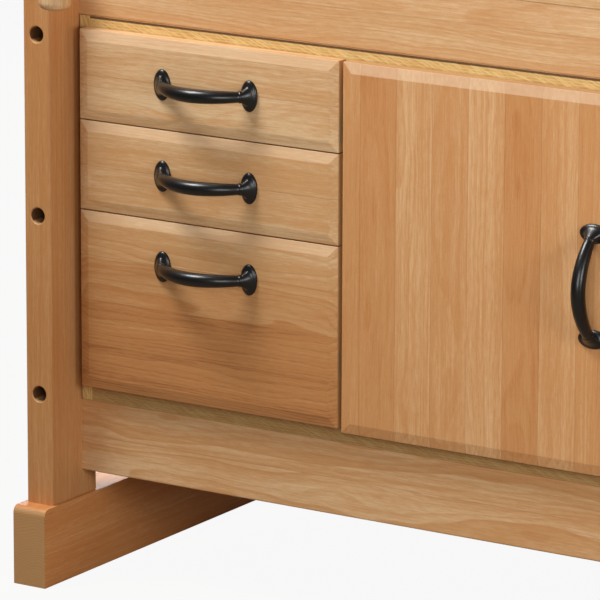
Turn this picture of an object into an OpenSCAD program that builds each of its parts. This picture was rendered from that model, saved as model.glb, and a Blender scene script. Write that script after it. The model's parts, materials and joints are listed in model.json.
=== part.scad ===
// Cabinet maker's workbench: a beech top with a front vise and an end vise, two sled-foot leg
// frames joined by four rails, and a plywood cabinet with three drawers and two doors between them.
// Millimetres, +Z up, front towards -Y. The origin is the centre of the footprint on the floor.

/* [Top] */
// Height from the floor to the working surface
bench_h = 900; // [880:5:960]
// Depth of the top
top_d = 600; // [590:5:700]
// How far the top runs past the legs at each end
top_over = 137; // [133:1:240]
// Thickness of the glued slab
slab_t = 40; // [36:1:45]
// Height of the aprons and end caps that frame the slab
apron_h = 100; // [96:1:104]
// Thickness of the front apron
front_apron_t = 45; // [40:1:50]
// Thickness of the rear apron
rear_apron_t = 40; // [30:1:50]
// Thickness of the end caps
cap_t = 50; // [40:1:54]
// Diameter of the round dog holes in the top and the legs
dog_hole_d = 20; // [18:0.5:22]
// Chamfer around the mouth of a dog hole
dog_chamfer = 1; // [0.5:0.25:2]
// Distance of the dog hole row from the front face
dog_row_y = 85; // [75:1:90]
// Number of dog holes along the slab
dog_count = 8; // [3:1:8]
// Spacing of the dog holes along the slab
dog_pitch = 125; // [110:5:125]
// Length of a bench dog
dog_l = 95; // [85:1:98]
// How far a bench dog stands above the top
dog_up = 20; // [15:1:25]
// Depth of the flat that is cut into the head of a bench dog
dog_flat = 3; // [2:0.5:5]
// Diameter of the pegs that locate the top on the leg frames
peg_d = 20; // [16:1:24]
// How far a peg goes into the slab, and into the bearer below it
peg_in = 20; // [15:1:25]

/* [Leg frames] */
// Depth of a leg frame over its leg faces
base_d = 520; // [500:5:540]
// Thickness of the legs, left to right
leg_t = 38; // [34:1:44]
// Depth of the legs, front to back
leg_d = 95; // [94:1:105]
// Height of the sled feet
foot_h = 100; // [90:1:110]
// How far a foot is thicker than a leg, on each side
foot_lip = 4.5; // [2:0.5:8]
// How far a foot runs past the legs, front and back
foot_over = 24; // [15:1:28]
// Radius of the upper corners of the feet
foot_r = 9; // [5:0.5:15]
// Thickness of the tenons
tenon_t = 18; // [12:1:20]
// Width of the tenons between legs and feet
foot_tenon_w = 60; // [40:1:70]
// Length of the tenons between legs and feet
foot_tenon_l = 45; // [30:1:60]
// Width of the tenons between legs and bearers
top_tenon_w = 34; // [24:1:36]
// Length of the tenons between legs and bearers
top_tenon_l = 20; // [15:1:22]
// Height of the lowest dog hole in a front leg
leg_hole_z = 240; // [235:1:250]
// Number of dog holes in a front leg
leg_hole_count = 3; // [2:1:3]
// Spacing of the dog holes in a front leg
leg_hole_pitch = 225; // [215:1:225]
// Radius of the eased edges on solid wood
ease_r = 2; // [1:0.5:4]

/* [Rails] */
// Height of the rails
rail_h = 92; // [80:1:94]
// Thickness of the rails
rail_t = 30; // [26:1:31]
// Setback of the rail faces from the leg faces
rail_set = 64; // [60:1:64]
// Height of the lower rails above the floor
rail_lift = 132; // [120:1:140]
// Gap between the upper rails and the front apron
rail_gap = 1; // [1:0.5:5]
// Diameter of the rail bolts
bolt_d = 8; // [6:1:10]
// Diameter of the bolt heads
bolt_head_d = 16; // [14:1:20]
// Thickness of the bolt heads
bolt_head_t = 5; // [4:0.5:8]
// How far a bolt reaches into its rail
bolt_in = 60; // [45:1:70]
// Diameter of the barrel nuts
nut_d = 14; // [13:1:16]
// Length of the barrel nuts
nut_l = 20; // [19:1:22]

/* [Cabinet] */
// Thickness of the cabinet sides and of the partition
side_t = 15; // [12:1:18]
// Thickness of the cabinet top and bottom
deck_t = 18; // [15:1:20]
// Thickness of the cabinet back
back_t = 6; // [4:1:9]
// Gap between the cabinet and a leg
cab_gap = 2; // [1:0.5:4]
// How far the cabinet stands proud of the rails
cab_proud = 1; // [0.5:0.5:3]
// Thickness of the shelf behind the doors
shelf_t = 18; // [15:1:21]
// Height of the shelf's upper face above the cabinet bottom
shelf_up = 215; // [150:1:300]
// Diameter of the shelf pins
shelf_pin_d = 6; // [5:0.5:8]
// How far a shelf pin reaches out under the shelf, and into the side
shelf_pin_l = 8; // [6:1:9]
// Distance of the shelf pins from the edges of the shelf
shelf_pin_y = 40; // [25:1:80]

/* [Fronts] */
// Width of every drawer front and door
front_w = 372; // [350:0.5:400]
// Thickness of the drawer fronts and doors
front_t = 18; // [17:0.5:20]
// Width of the bevel around every front
bevel_w = 13; // [6:0.5:16]
// Depth of the bevel at the edge of a front
bevel_t = 3; // [2:0.25:5]
// Gap between the fronts and the cabinet
front_gap = 1.25; // [1:0.25:2]
// How far the fronts lap over the cabinet sides and the partition
front_lap = 4.5; // [4:0.25:5]
// Height of the upper and middle drawer fronts
small_front_h = 111; // [100:0.5:116]
// Gap between the drawer fronts
drawer_gap = 1.5; // [1:0.5:3]
// Gap between the two doors
door_gap = 3; // [2:0.5:5]
// Height of the cabinet top that shows above the fronts
top_reveal = 13.5; // [12:0.5:14]
// Height from the underside of the cabinet to the drawer fronts
drawer_reveal = 21.5; // [18:0.5:24]
// Height from the underside of the cabinet to the doors
door_reveal = 17.5; // [14:0.5:20]

/* [Drawers] */
// Thickness of the drawer sides and ends
wall_t = 12; // [10:1:15]
// Thickness of the drawer bottoms
base_t = 6; // [4:1:9]
// Length of the drawer boxes
box_l = 370; // [350:5:375]
// Gap between a drawer box and the cabinet, on each side
box_gap = 2; // [1.5:0.5:3]
// How far a drawer box stands above the lower edge of its front
box_rise = 12; // [8:1:15]
// How far a drawer box stays below the upper edge of its front
box_drop = 14; // [10:1:25]
// Height of the wooden runners
runner_h = 14; // [10:1:18]
// How far a runner enters the groove of a drawer side
runner_in = 6; // [4:0.5:7]
// Setback of the runners from the cabinet's front edges
runner_set = 3; // [2:1:10]
// Height of a runner above the underside of its drawer box
groove_up = 34; // [25:1:40]

/* [Hinges] */
// Distance of a hinge axis from the edge of its door
pivot_in = 4; // [3.5:0.25:4]
// Distance of a hinge axis from the back of its door
pivot_back = 10.5; // [10.5:0.25:11]
// Diameter of the hinge pins
pin_d = 3; // [2.5:0.5:4]
// Outer diameter of the hinge knuckles
knuckle_d = 7; // [6.5:0.5:7.5]
// Height of the hinge knuckles and arms
knuckle_h = 30; // [20:1:40]
// Thickness of the hinge arms
arm_t = 2.5; // [2:0.25:3]
// How far the hinge arms reach into the cabinet
arm_l = 45; // [30:1:60]
// Distance of a hinge's middle from the end of its door
hinge_end = 85; // [60:1:110]
// How far a hinge pin is seated in the door, above and below its knuckle
pin_seat = 8; // [5:1:12]

/* [Pulls] */
// Distance between the plate centres of a pull
pull_l = 125; // [110:1:135]
// How far a pull stands out from its front
pull_out = 46; // [42:1:50]
// Thickness of a pull's bar in the middle
bar_mid_d = 17.5; // [14:0.5:19]
// Thickness of a pull's bar at the plates
bar_end_d = 11.5; // [9:0.5:12.5]
// Length of the oval plates, across the bar
plate_l = 39; // [34:1:44]
// Width of the oval plates, along the bar
plate_w = 23.5; // [20:0.5:26]
// Thickness of the oval plates
plate_t = 5.5; // [3:0.5:6]
// Distance of a door pull from the free edge of its door
door_pull_in = 28; // [25:1:40]

/* [Vises] */
// Distance of the front vise screw from the outer face of the left legs
front_vise_in = 112; // [98:1:114]
// Height of the vise screws above the underside of the aprons
screw_rise = 40; // [38:1:42]
// Width of the front vise jaw
front_jaw_w = 440; // [400:5:440]
// Thickness of the vise jaws
jaw_t = 60; // [50:1:70]
// Gap between a closed jaw and the bench
jaw_gap = 0.5; // [0.3:0.1:1]
// Distance between the guide rods of a vise
rod_span = 300; // [290:2:306]
// Diameter of the guide rods
rod_d = 20; // [16:1:22]
// How far a guide rod is seated in its jaw
rod_seat = 45; // [35:1:45]
// Diameter of the vise screws
screw_d = 24; // [20:1:26]
// Reach of the front vise screw and rods behind the front face
front_reach = 400; // [390:5:420]
// Reach of the end vise screw and rods behind the end face
end_reach = 300; // [290:5:320]
// Diameter of the retaining collar behind a jaw
collar_d = 38; // [32:1:42]
// Thickness of the retaining collar
collar_t = 6; // [4:1:8]
// Diameter of the iron flange on a jaw
flange_d = 74; // [66:1:75]
// Thickness of the iron flange
flange_t = 6; // [4:1:8]
// Diameter of the screw hub
hub_d = 44; // [40:1:50]
// Length of the screw hub
hub_l = 50; // [46:1:56]
// Radius of the rounded rim of the hub
hub_r = 6; // [3:1:8]
// Thickness of the nut blocks
block_t = 40; // [30:1:45]
// Wood of a nut block beside and below its bores
block_wall = 14; // [10:1:16]
// Distance of the front nut blocks from the front face
front_block_y = 190; // [150:5:200]
// Distance of the end nut block from the end face
end_block_x = 80; // [75:1:85]
// Diameter of the handles
handle_d = 22; // [18:1:24]
// Length of a handle over its knobs
handle_l = 200; // [200:5:240]
// Distance from the screw axis down to the lower end of a handle
handle_drop = 95; // [80:1:100]
// Diameter of the handle knobs
knob_d = 39; // [34:1:42]
// Length of the handle knobs
knob_l = 36; // [30:1:40]
// Depth of the handle's seat in a knob
knob_seat = 22; // [15:1:24]
// Radius of the rounded edges of the knobs
knob_r = 9; // [5:1:12]

/* [Clearances] */
// Gap all round a tenon, a bolt or a peg in its hole
fit_gap = 0.1; // [0.05:0.05:0.25]
// Gap all round a part that turns or slides in its bore
run_gap = 0.08; // [0.05:0.01:0.1]
// Gap all round a screw or rod where it passes through a bearer
pass_gap = 2; // [1:0.5:3]
// Gap all round a retaining collar in its jaw
collar_gap = 1; // [0.5:0.25:2]
// Gap all round a runner in its groove
runner_gap = 0.5; // [0.3:0.1:1]
// Gap all round a hinge arm and knuckle in the pocket of its door
pocket_gap = 0.6; // [0.5:0.1:1]
// Gap at the ends and the back of the shelf
shelf_gap = 0.5; // [0.3:0.1:1]
// Gap between the shelf and the hinge arms
arm_gap = 10; // [5:1:20]

/* [Hidden] */
$fn = 64;
arc_fn = 24;

BEECH = [0.78, 0.60, 0.42];
PALE_BEECH = [0.86, 0.75, 0.55];
PLY = [0.80, 0.68, 0.46];
BLACK_IRON = [0.06, 0.06, 0.06];
STEEL = [0.62, 0.63, 0.65];

// Cuts that open a face run this far past it
past = 1;

// Widths: three fronts set the cabinet, the cabinet sets the legs, and the legs set the top
bay_w = front_w - 2 * front_lap;
cab_in_x = (3 * front_w + side_t + door_gap - 4 * front_lap) / 2;
cab_out_x = cab_in_x + side_t;
leg_in_x = cab_out_x + cab_gap;
leg_mid_x = leg_in_x + leg_t / 2;
leg_out_x = leg_in_x + leg_t;
foot_t = leg_t + 2 * foot_lip;
top_end_x = leg_out_x + top_over;
slab_x = top_end_x - cap_t;
part_x = -cab_in_x + bay_w;
drawer_x = -cab_in_x - front_lap;
door_xs = [part_x + side_t - front_lap, cab_in_x + front_lap - front_w];

// Heights, from the floor up
apron_z = bench_h - apron_h;
slab_z = bench_h - slab_t;
top_rail_z = apron_z - rail_gap - rail_h;
bolt_zs = [rail_lift + rail_h / 2, top_rail_z + rail_h / 2];
cab_z = rail_lift + rail_h;
bay_z = cab_z + deck_t;
bay_top_z = top_rail_z - deck_t;
fronts_top_z = top_rail_z - top_reveal;
lower_front_z = cab_z + drawer_reveal;
upper_front_z = fronts_top_z - small_front_h;
middle_front_z = upper_front_z - drawer_gap - small_front_h;
lower_front_h = middle_front_z - drawer_gap - lower_front_z;
door_z = cab_z + door_reveal;
door_h = fronts_top_z - door_z;
hinge_zs = [door_z + hinge_end, door_z + door_h - hinge_end];
shelf_z = bay_z + shelf_up - shelf_t;
shelf_pin_z = shelf_z - shelf_pin_d / 2;
screw_z = apron_z + screw_rise;

// Depths, from the front face of the legs back
cab_y = rail_set - cab_proud;
cab_back_y = base_d - rail_set;
back_y = cab_back_y - back_t;
front_back_y = cab_y - front_gap;
front_y = front_back_y - front_t;
pivot_y = front_back_y - pivot_back;
bolt_y = rail_set + rail_t / 2;
shelf_y = cab_y + arm_l + arm_gap;
shelf_pin_ys = [shelf_y + shelf_pin_y, back_y - shelf_gap - shelf_pin_y];
top_tenon_ys = [(front_apron_t + leg_d) / 2, base_d - leg_d / 2];

// Vises: the front one on the front apron, the end one on the right end cap
vise_out = jaw_gap + jaw_t + flange_t + hub_l;
hub_y = -jaw_gap - jaw_t - flange_t;
handle_y = hub_y - hub_l / 2;
rods = [-rod_span / 2, rod_span / 2];
front_vise_x = -leg_out_x + front_vise_in;
end_vise_y = top_d / 2;

// The first dog hole is half way between the front vise's screw and its right rod
slab_dog_x = front_vise_x + rod_span / 4;
jaw_dog_x = top_end_x + jaw_gap + jaw_t / 2;
dog_d = dog_hole_d - 2 * run_gap;

// The pegs are half way between the end vise's screw and its rods
peg_ys = [end_vise_y - rod_span / 4, end_vise_y + rod_span / 4];

// Drawer boxes fill the left bay
box_x = -cab_in_x + box_gap;
box_w = bay_w - 2 * box_gap;

// Moves a piece from the middle of the top and the leg faces to the middle of the footprint
module place() {
    translate([-vise_out / 2, (vise_out - top_d) / 2, 0]) children();
}

// A rectangle with rounded corners
module rounded_rect(w, h, r) {
    translate([r, 0]) square([w - 2 * r, h]);
    translate([0, r]) square([w, h - 2 * r]);
    for (x = [r, w - r], y = [r, h - r]) translate([x, y]) circle(r, $fn = arc_fn);
}

// A box between two corners
module block(lo, hi) {
    translate(lo) cube(hi - lo);
}

// Boards between two corners, with the edges along their length eased
module board_x(lo, hi) {
    translate(lo) rotate([90, 0, 90]) linear_extrude(hi.x - lo.x)
        rounded_rect(hi.y - lo.y, hi.z - lo.z, ease_r);
}

module board_y(lo, hi) {
    translate([lo.x, hi.y, lo.z]) rotate([90, 0, 0]) linear_extrude(hi.y - lo.y)
        rounded_rect(hi.x - lo.x, hi.z - lo.z, ease_r);
}

module board_z(lo, hi) {
    translate(lo) linear_extrude(hi.z - lo.z) rounded_rect(hi.x - lo.x, hi.y - lo.y, ease_r);
}

// Rods and bores that start at a point and run along one axis
module rod_x(p, d, l) {
    translate(p) rotate([0, 90, 0]) cylinder(d = d, h = l);
}

module rod_y(p, d, l) {
    translate(p) rotate([-90, 0, 0]) cylinder(d = d, h = l);
}

module rod_z(p, d, l) {
    translate(p) cylinder(d = d, h = l);
}

// A dog hole from the origin down, with a chamfered mouth
module dog_bore(l) {
    mouth = dog_chamfer + past;
    translate([0, 0, -l - past]) cylinder(d = dog_hole_d, h = l + 2 * past);
    translate([0, 0, -dog_chamfer]) cylinder(d1 = dog_hole_d, d2 = dog_hole_d + 2 * mouth, h = mouth);
}

// A tenon that stands on the origin; with a gap it is the cut for its mortise
module tenon(w, l, gap = 0) {
    open = gap > 0 ? past : 0;
    block([-tenon_t / 2 - gap, -w / 2 - gap, -open], [tenon_t / 2 + gap, w / 2 + gap, l + gap]);
}

module foot_tenon(gap = 0) {
    mirror([0, 0, 1]) tenon(foot_tenon_w, foot_tenon_l, gap);
}

// A sled foot, flat underneath and rounded at its upper corners
module foot(side) {
    foot_l = base_d + 2 * foot_over;
    color(BEECH) difference() {
        translate([side * leg_mid_x - foot_t / 2, -foot_over, 0]) rotate([90, 0, 90])
            linear_extrude(foot_t) {
                square([foot_l, foot_h - foot_r]);
                translate([foot_r, 0]) square([foot_l - 2 * foot_r, foot_h]);
                for (y = [foot_r, foot_l - foot_r])
                    translate([y, foot_h - foot_r]) circle(foot_r, $fn = arc_fn);
            }
        for (y = [leg_d / 2, base_d - leg_d / 2])
            translate([side * leg_mid_x, y, foot_h]) foot_tenon(fit_gap);
    }
}

// A leg; its number is 0 at the front and 1 at the back
module leg(side, number) {
    mid_x = side * leg_mid_x;
    y = number * (base_d - leg_d);
    difference() {
        union() {
            board_z([mid_x - leg_t / 2, y, foot_h], [mid_x + leg_t / 2, y + leg_d, apron_z]);
            translate([mid_x, y + leg_d / 2, foot_h]) foot_tenon();
            translate([mid_x, top_tenon_ys[number], apron_z]) tenon(top_tenon_w, top_tenon_l);
        }
        for (z = bolt_zs)
            rod_x([mid_x - leg_t / 2 - past, number > 0 ? base_d - bolt_y : bolt_y, z],
                  bolt_d + 2 * fit_gap, leg_t + 2 * past);
    }
}

module front_leg(side) {
    color(BEECH) difference() {
        leg(side, 0);
        for (i = [0:leg_hole_count - 1])
            translate([side * leg_mid_x, 0, leg_hole_z + i * leg_hole_pitch])
                rotate([90, 0, 0]) dog_bore(leg_d);
    }
}

module rear_leg(side) {
    color(BEECH) leg(side, 1);
}

// The cross piece on top of a leg frame, between the aprons
module bearer(side) {
    mid_x = side * leg_mid_x;
    color(BEECH) difference() {
        board_y([mid_x - leg_t / 2, front_apron_t, apron_z],
                [mid_x + leg_t / 2, top_d - rear_apron_t, slab_z]);
        for (y = top_tenon_ys) translate([mid_x, y, apron_z]) tenon(top_tenon_w, top_tenon_l, fit_gap);
        for (y = peg_ys)
            rod_z([mid_x, y, slab_z - peg_in - fit_gap], peg_d + 2 * fit_gap, peg_in + fit_gap + past);
        if (side > 0) {
            rod_x([leg_in_x - past, end_vise_y, screw_z], screw_d + 2 * pass_gap, leg_t + 2 * past);
            for (y = rods)
                rod_x([leg_in_x - past, end_vise_y + y, screw_z], rod_d + 2 * pass_gap, leg_t + 2 * past);
        }
    }
}

module top_pegs() {
    color(BEECH) for (side = [-1, 1], y = peg_ys)
        rod_z([side * leg_mid_x, y, slab_z - peg_in], peg_d, 2 * peg_in);
}

// The middle of a barrel nut, and the start of a bolt, at one end of the bench
function nut_x(side) = side * (leg_in_x - bolt_in + nut_d);
function bolt_x(side) = side > 0 ? leg_in_x - bolt_in : -leg_out_x;

// A rail with its front face at y; its nuts go in from the face that looks inwards
module rail(y, z, inward) {
    color(BEECH) difference() {
        board_x([-leg_in_x, y, z], [leg_in_x, y + rail_t, z + rail_h]);
        for (side = [-1, 1]) {
            rod_x([bolt_x(side), y + rail_t / 2, z + rail_h / 2], bolt_d + 2 * fit_gap, leg_t + bolt_in);
            rod_y([nut_x(side), inward > 0 ? y + rail_t - nut_l : y - past, z + rail_h / 2],
                  nut_d + 2 * fit_gap, nut_l + past);
        }
    }
}

// A bolt with its head on the outer face of a leg, and its barrel nut in the rail
module rail_bolt(side, y, z, inward) {
    rod_x([bolt_x(side), y, z], bolt_d, leg_t + bolt_in);
    rod_x([side > 0 ? leg_out_x : -leg_out_x - bolt_head_t, y, z], bolt_head_d, bolt_head_t);
    difference() {
        rod_y([nut_x(side), inward > 0 ? y + rail_t / 2 - nut_l : y - rail_t / 2, z], nut_d, nut_l);
        rod_x([nut_x(side) - nut_d, y, z], bolt_d + 2 * fit_gap, 2 * nut_d);
    }
}

module rail_bolts() {
    color(STEEL) for (side = [-1, 1], z = bolt_zs) {
        rail_bolt(side, bolt_y, z, 1);
        rail_bolt(side, base_d - bolt_y, z, -1);
    }
}

// The top: a slab framed by two aprons and two end caps
module top_slab() {
    color(BEECH) difference() {
        block([-slab_x, front_apron_t, slab_z], [slab_x, top_d - rear_apron_t, bench_h]);
        for (i = [0:dog_count - 1])
            translate([slab_dog_x + i * dog_pitch, dog_row_y, bench_h]) dog_bore(slab_t);
        for (side = [-1, 1], y = peg_ys)
            rod_z([side * leg_mid_x, y, slab_z - past], peg_d + 2 * fit_gap, peg_in + fit_gap + past);
    }
}

module front_apron() {
    color(BEECH) difference() {
        board_x([-slab_x, 0, apron_z], [slab_x, front_apron_t, bench_h]);
        at_front_vise() vise_bores(-past, front_apron_t + 2 * past);
    }
}

module rear_apron() {
    color(BEECH) board_x([-slab_x, top_d - rear_apron_t, apron_z], [slab_x, top_d, bench_h]);
}

module end_cap(side) {
    color(BEECH) difference() {
        board_y([side > 0 ? slab_x : -top_end_x, 0, apron_z],
                [side > 0 ? top_end_x : -slab_x, top_d, bench_h]);
        if (side > 0) at_end_vise() vise_bores(-past, cap_t + 2 * past);
    }
}

// A vise is drawn around its screw axis, with the jaw towards -Y
module at_front_vise() {
    translate([front_vise_x, 0, screw_z]) children();
}

module at_end_vise() {
    translate([top_end_x, end_vise_y, screw_z]) rotate([0, 0, 90]) children();
}

// Running bores for the screw and the rods
module vise_bores(y, l) {
    rod_y([0, y, 0], screw_d + 2 * run_gap, l);
    for (x = rods) rod_y([x, y, 0], rod_d + 2 * run_gap, l);
}

module vise_jaw(w) {
    front = -jaw_gap - jaw_t;
    collar_y = -jaw_gap - collar_t - collar_gap;
    color(BEECH) difference() {
        board_x([-w / 2, front, -screw_rise], [w / 2, -jaw_gap, apron_h - screw_rise]);
        rod_y([0, front - past, 0], screw_d + 2 * run_gap, jaw_t + 2 * past);
        rod_y([0, collar_y, 0], collar_d + 2 * collar_gap, collar_t + collar_gap + past);
        for (x = rods)
            rod_y([x, -jaw_gap - rod_seat - fit_gap, 0], rod_d + 2 * fit_gap, rod_seat + fit_gap + past);
    }
}

module end_vise_jaw() {
    color(BEECH) difference() {
        at_end_vise() vise_jaw(top_d);
        translate([jaw_dog_x, dog_row_y, bench_h]) dog_bore(apron_h);
    }
}

module vise_flange() {
    color(BLACK_IRON) difference() {
        rod_y([0, hub_y, 0], flange_d, flange_t);
        rod_y([0, hub_y - past, 0], screw_d + 2 * run_gap, flange_t + 2 * past);
    }
}

// The screw with its retaining collar and the hub that carries the handle
module vise_screw(reach) {
    color(STEEL) difference() {
        union() {
            rod_y([0, hub_y, 0], screw_d, reach - hub_y);
            rod_y([0, -jaw_gap - collar_t, 0], collar_d, collar_t);
            translate([0, hub_y, 0]) rotate([90, 0, 0]) rotate_extrude() {
                square([hub_d / 2, hub_l - hub_r]);
                square([hub_d / 2 - hub_r, hub_l]);
                translate([hub_d / 2 - hub_r, hub_l - hub_r]) circle(hub_r, $fn = arc_fn);
            }
        }
        rod_z([0, handle_y, -hub_d], handle_d + 2 * run_gap, 2 * hub_d);
    }
}

module vise_rods(reach) {
    color(STEEL) for (x = rods) rod_y([x, -jaw_gap - rod_seat, 0], rod_d, reach + jaw_gap + rod_seat);
}

// A nut block under the slab, bored for what runs through it
module nut_block(x0, x1, y) {
    color(BEECH) difference() {
        block([x0, y, -screw_d / 2 - block_wall], [x1, y + block_t, slab_z - screw_z]);
        vise_bores(y - past, block_t + 2 * past);
    }
}

// The front vise has two blocks, one on each side of the left leg frame
module front_vise_nut_blocks() {
    rod_edge = rod_d / 2 + block_wall;
    at_front_vise() {
        nut_block(rods[0] - rod_edge, rods[0] + rod_edge, front_block_y);
        nut_block(-screw_d / 2 - block_wall, rods[1] + rod_edge, front_block_y);
    }
}

module end_vise_nut_block() {
    rod_edge = rod_d / 2 + block_wall;
    at_end_vise() nut_block(rods[0] - rod_edge, rods[1] + rod_edge, end_block_x);
}

// The handle slides through the hub, and each end is glued into a turned knob
module vise_handle() {
    seat_z = knob_l - knob_seat;
    color(PALE_BEECH) rod_z([0, handle_y, seat_z - handle_drop], handle_d, handle_l - 2 * seat_z);
}

module knob() {
    difference() {
        rotate_extrude() {
            square([knob_d / 2 - knob_r, knob_l]);
            translate([0, knob_r]) square([knob_d / 2, knob_l - 2 * knob_r]);
            for (z = [knob_r, knob_l - knob_r])
                translate([knob_d / 2 - knob_r, z]) circle(knob_r, $fn = arc_fn);
        }
        rod_z([0, 0, knob_l - knob_seat - fit_gap], handle_d + 2 * fit_gap, knob_seat + fit_gap + past);
    }
}

module vise_knobs() {
    color(PALE_BEECH) translate([0, handle_y, -handle_drop]) {
        knob();
        translate([0, 0, handle_l]) mirror([0, 0, 1]) knob();
    }
}

// A bench dog with a flat face for the work
module bench_dog(x) {
    color(BEECH) translate([x, dog_row_y, bench_h + dog_up - dog_l]) difference() {
        cylinder(d = dog_d, h = dog_l);
        block([dog_d / 2 - dog_flat, -dog_d, dog_l - dog_up], [dog_d, dog_d, dog_l + past]);
    }
}

// The cabinet stands on the lower rails, between the leg frames
module cabinet_side(side) {
    color(PLY) difference() {
        block([side > 0 ? cab_in_x : -cab_out_x, cab_y, cab_z],
              [side > 0 ? cab_out_x : -cab_in_x, cab_back_y, top_rail_z]);
        if (side > 0) shelf_pin_bores();
    }
}

module cabinet_deck(z) {
    color(PLY) block([-cab_in_x, cab_y, z], [cab_in_x, cab_back_y, z + deck_t]);
}

module cabinet_partition() {
    color(PLY) difference() {
        block([part_x, cab_y, bay_z], [part_x + side_t, back_y, bay_top_z]);
        shelf_pin_bores();
    }
}

module cabinet_back() {
    color(PLY) block([-cab_in_x, back_y, bay_z], [cab_in_x, cab_back_y, bay_top_z]);
}

module shelf() {
    color(PLY) block([part_x + side_t + shelf_gap, shelf_y, shelf_z],
                     [cab_in_x - shelf_gap, back_y - shelf_gap, shelf_z + shelf_t]);
}

// Pins of one length and thickness, centred on the two faces that carry the shelf
module each_shelf_pin(d, l) {
    for (y = shelf_pin_ys, x = [part_x + side_t, cab_in_x]) rod_x([x - l, y, shelf_pin_z], d, 2 * l);
}

module shelf_pins() {
    color(STEEL) each_shelf_pin(shelf_pin_d, shelf_pin_l);
}

module shelf_pin_bores() {
    each_shelf_pin(shelf_pin_d + 2 * fit_gap, shelf_pin_l + fit_gap);
}

// The two runners of a drawer; with a gap they are the cuts for the grooves in its sides
module runner_pair(front_z, gap = 0) {
    z = front_z + box_rise + groove_up;
    y = gap > 0 ? front_back_y : cab_y + runner_set;
    in = box_gap + runner_in + gap;
    for (x = [-cab_in_x, part_x - in]) block([x, y, z - gap], [x + in, back_y, z + runner_h + gap]);
}

module drawer_runners() {
    color(BEECH) for (front_z = [upper_front_z, middle_front_z, lower_front_z]) runner_pair(front_z);
}

// Drawers hang on the runners
module drawer_box(front_z, front_h) {
    lo = [box_x, front_back_y, front_z + box_rise];
    hi = [box_x + box_w, front_back_y + box_l, front_z + front_h - box_drop];
    color(PLY) difference() {
        block(lo, hi);
        block(lo + [wall_t, wall_t, base_t], hi + [-wall_t, -wall_t, past]);
        runner_pair(front_z, runner_gap);
    }
}

// The section of a front panel across its width w, with its back on the X axis
module bevelled_section(w) {
    edge_y = bevel_t - front_t;
    polygon([[0, 0], [w, 0], [w, edge_y], [w - bevel_w, -front_t], [bevel_w, -front_t], [0, edge_y]]);
}

// A front panel, bevelled all round, from the lower left corner of its back
module front_panel(h) {
    intersection() {
        linear_extrude(h) bevelled_section(front_w);
        rotate([90, 0, 90]) linear_extrude(front_w) mirror([1, 0]) rotate(90) bevelled_section(h);
    }
}

module drawer_front(z, h) {
    color(BEECH) translate([drawer_x, front_back_y, z]) front_panel(h);
}

// Doors; the hinges are on the left edge where hand is -1, and on the right edge where it is 1
function hinge_edge(hand) = hand < 0 ? door_xs[0] : door_xs[1] + front_w;
function pivot_x(hand) = hinge_edge(hand) - hand * pivot_in;

module each_hinge_pin(hand, z, d) {
    rod_z([pivot_x(hand), pivot_y, z - knuckle_h / 2 - pin_seat], d, knuckle_h + 2 * pin_seat);
}

module door(hand) {
    pocket = knuckle_d / 2 + pocket_gap;
    color(BEECH) difference() {
        translate([hand < 0 ? door_xs[0] : door_xs[1], front_back_y, door_z]) front_panel(door_h);
        for (z = hinge_zs) {
            translate([pivot_x(hand), 0, 0]) mirror([hand < 0 ? 0 : 1, 0, 0])
                block([-pivot_in - past, pivot_y - pocket, z - knuckle_h / 2 - pocket_gap],
                      [pocket, front_back_y + past, z + knuckle_h / 2 + pocket_gap]);
            each_hinge_pin(hand, z, pin_d + 2 * run_gap);
        }
    }
}

// A hinge arm runs from its knuckle back along the panel that carries it
module hinge_arm(hand, z) {
    difference() {
        union() {
            rod_z([pivot_x(hand), pivot_y, z - knuckle_h / 2], knuckle_d, knuckle_h);
            translate([hinge_edge(hand) - hand * front_lap, 0, 0]) mirror([hand < 0 ? 0 : 1, 0, 0])
                block([0, pivot_y, z - knuckle_h / 2], [arm_t, cab_y + arm_l, z + knuckle_h / 2]);
        }
        each_hinge_pin(hand, z, pin_d + 2 * fit_gap);
    }
}

module hinge_arms() {
    color(STEEL) for (hand = [-1, 1], z = hinge_zs) hinge_arm(hand, z);
}

module hinge_pins() {
    color(STEEL) for (hand = [-1, 1], z = hinge_zs) each_hinge_pin(hand, z, pin_d);
}

// Cast pulls: a bowed bar that swells in the middle, with an oval plate at each end
bow_steps = 20;
ring_sides = 20;
bow_rise = pull_out - bar_mid_d / 2 - plate_t;

// Share of the way from the middle to a plate's centre at which the neck begins
neck_share = 0.88;
// How fast the bar swells from its ends; below 1 it is fuller near them
swell = 0.75;

// The domed rim of a plate; each step is its inset and its height, as shares
rim_steps = [[0, 0], [0, 0.35], [0.12, 0.7], [0.4, 1]];

// Rings for the plate at one end, from its foot up; side is -1 or 1
function plate_rings(side) =
    [for (s = rim_steps) [for (k = [0:ring_sides - 1]) let (a = 360 * k / ring_sides, f = 1 - s[0])
        [side * (pull_l / 2 - plate_w / 2 * f * cos(a)), -plate_t * s[1], plate_l / 2 * f * sin(a)]]];

// A ring around the bar, whose bow is a parabola; u is -1 and 1 at the plates' centres
function bar_ring(u) =
    let (x = pull_l / 2 * u, y = -plate_t - bow_rise * (1 - u * u),
         turn = atan2(4 * bow_rise * u, pull_l),
         r = (bar_end_d + (bar_mid_d - bar_end_d) * pow(1 - u * u, swell)) / 2)
    [for (k = [0:ring_sides - 1]) let (a = 360 * k / ring_sides)
        [x - sin(turn) * r * cos(a), y + cos(turn) * r * cos(a), r * sin(a)]];

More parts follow.
